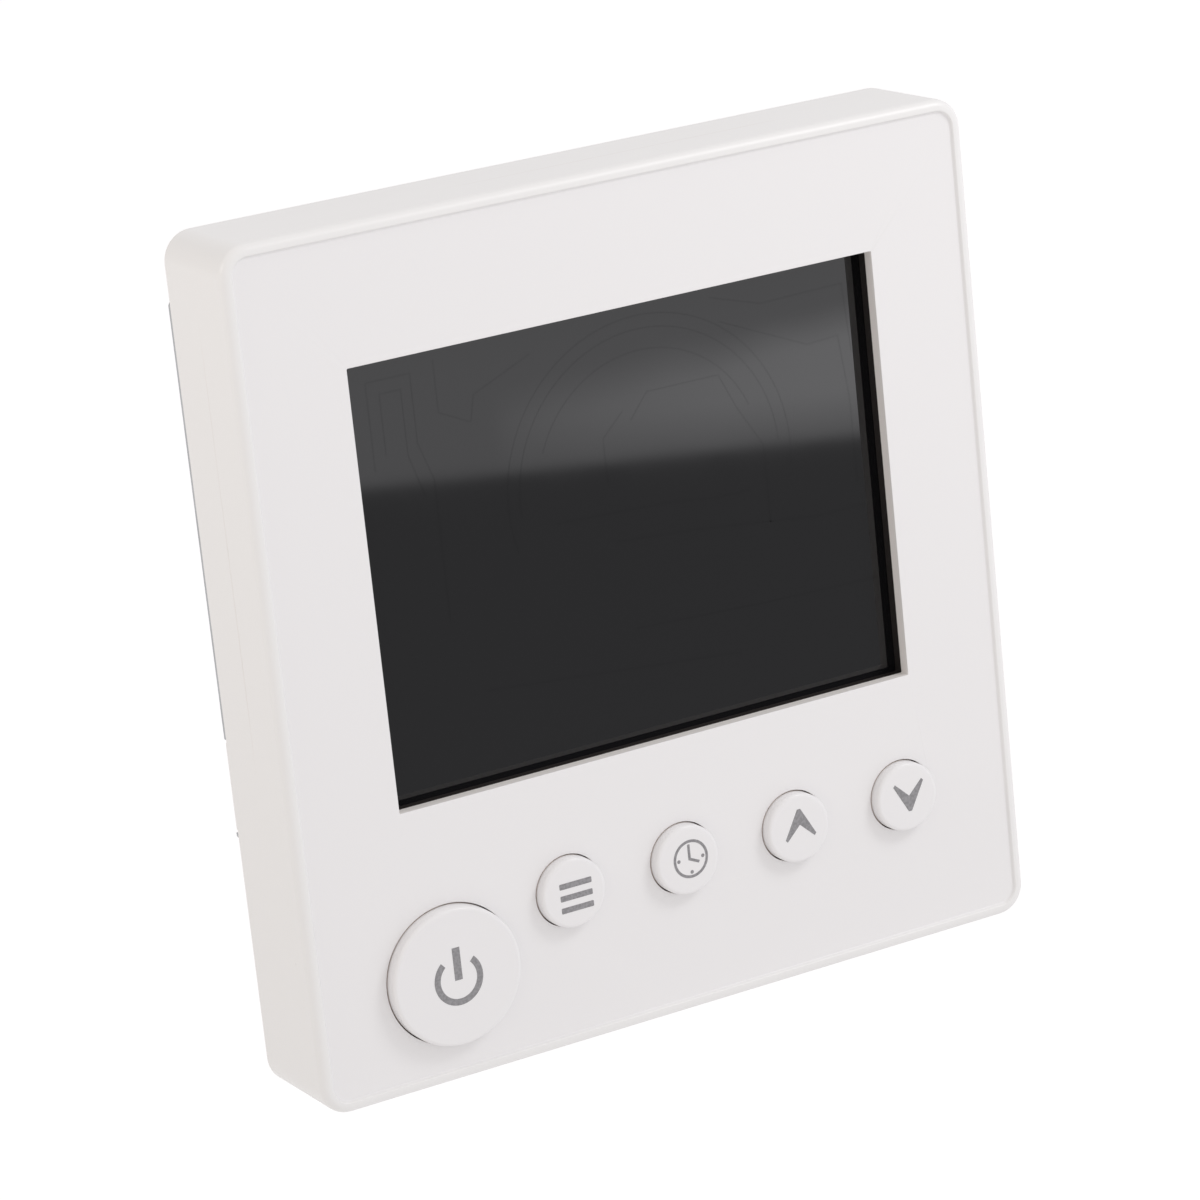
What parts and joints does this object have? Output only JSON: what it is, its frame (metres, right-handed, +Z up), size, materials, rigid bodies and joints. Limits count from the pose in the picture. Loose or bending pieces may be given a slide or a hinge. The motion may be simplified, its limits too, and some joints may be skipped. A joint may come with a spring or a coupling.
{
  "type": "wall thermostat",
  "caption": "White wall thermostat with a recessed dark display and round push keys; the front unit clips over a steel plate with a wall-box power unit behind it.",
  "frame": {"origin": "centre of the two fixing slots, in the wall plane (the back of the mounting plate)", "axes": "+X to the right seen from the front, +Y into the wall, +Z up"},
  "size_m": [0.086, 0.0423, 0.09],
  "materials": {
    "housing_white": "satin moulded plastic",
    "panel_white": "smooth gloss plastic",
    "key_white": "smooth gloss plastic with a printed symbol",
    "gasket_black": "matt foam",
    "display_dark": "dark polariser film with a glossy surface",
    "display_glass": "clear glass",
    "light_guide": "clear acrylic",
    "reflector_white": "matt white film",
    "led_amber": "small lamps on a strip",
    "zebra_rubber": "layered silicone",
    "holder_white": "natural nylon",
    "board_green": "solder mask over glass fibre",
    "chip_black": "moulded epoxy",
    "sensor_bead": "epoxy bead on bare leads",
    "connector_black": "moulded nylon",
    "screw_steel": "zinc plated",
    "switch_black": "moulded nylon",
    "plunger_black": "moulded nylon",
    "cover_steel": "stamped steel",
    "plate_steel": "galvanised sheet",
    "box_white": "flame-retardant plastic",
    "pin_gold": "gold plated",
    "ferrite": "fired ferrite",
    "bobbin_black": "moulded phenolic",
    "coil_yellow": "winding tape",
    "relay_blue": "moulded case",
    "sleeve_dark": "shrink sleeve",
    "capacitor_yellow": "moulded case",
    "varistor_blue": "dipped epoxy",
    "fuse_brown": "moulded case",
    "terminal_green": "moulded nylon",
    "cage_brass": "nickelled brass"
  },
  "bodies": {
    "base": {"mounting_plate": "plate_steel", "power_box": "box_white", "box_screws": "screw_steel", "power_board": "board_green", "header_strip": "connector_black", "header_pins": "pin_gold", "transformer_core": "ferrite", "transformer_bobbin": "bobbin_black", "transformer_coil": "coil_yellow", "relay": "relay_blue", "smoothing_capacitor": "sleeve_dark", "safety_capacitor": "capacitor_yellow", "varistor": "varistor_blue", "fuse": "fuse_brown", "terminal_block": "terminal_green", "terminal_screws": "screw_steel", "terminal_cages": "cage_brass"},
    "front_unit": {"front_housing": "housing_white", "face_panel": "panel_white", "window_gasket": "gasket_black", "front_polariser": "display_dark", "front_glass": "display_glass", "rear_glass": "display_glass", "light_guide": "light_guide", "reflector_sheet": "reflector_white", "backlight_leds": "led_amber", "zebra_strip": "zebra_rubber", "lcd_holder": "holder_white", "main_board": "board_green", "control_chip": "chip_black", "driver_chip": "chip_black", "air_sensor": "sensor_bead", "board_socket": "connector_black", "board_screws": "screw_steel", "switch_covers": "cover_steel", "power_switch": "switch_black", "menu_switch": "switch_black", "clock_switch": "switch_black", "up_switch": "switch_black", "down_switch": "switch_black"},
    "power_key": {"power_button": "key_white", "power_plunger": "plunger_black"},
    "menu_key": {"menu_button": "key_white", "menu_plunger": "plunger_black"},
    "clock_key": {"clock_button": "key_white", "clock_plunger": "plunger_black"},
    "up_key": {"up_button": "key_white", "up_plunger": "plunger_black"},
    "down_key": {"down_button": "key_white", "down_plunger": "plunger_black"}
  },
  "joints": [
    {"name": "front_pull", "type": "slide", "parent": "base", "child": "front_unit", "axis": [0, -1, 0], "range_m": [0, 0.025]},
    {"name": "power_press", "type": "slide", "parent": "front_unit", "child": "power_key", "axis": [0, 1, 0], "range_m": [0, 0.0005], "stiffness_N_per_m": 2000, "springref_m": -0.0003},
    {"name": "menu_press", "type": "slide", "parent": "front_unit", "child": "menu_key", "axis": [0, 1, 0], "range_m": [0, 0.0005], "stiffness_N_per_m": 2000, "springref_m": -0.0003},
    {"name": "clock_press", "type": "slide", "parent": "front_unit", "child": "clock_key", "axis": [0, 1, 0], "range_m": [0, 0.0005], "stiffness_N_per_m": 2000, "springref_m": -0.0003},
    {"name": "up_press", "type": "slide", "parent": "front_unit", "child": "up_key", "axis": [0, 1, 0], "range_m": [0, 0.0005], "stiffness_N_per_m": 2000, "springref_m": -0.0003},
    {"name": "down_press", "type": "slide", "parent": "front_unit", "child": "down_key", "axis": [0, 1, 0], "range_m": [0, 0.0005], "stiffness_N_per_m": 2000, "springref_m": -0.0003}
  ]
}
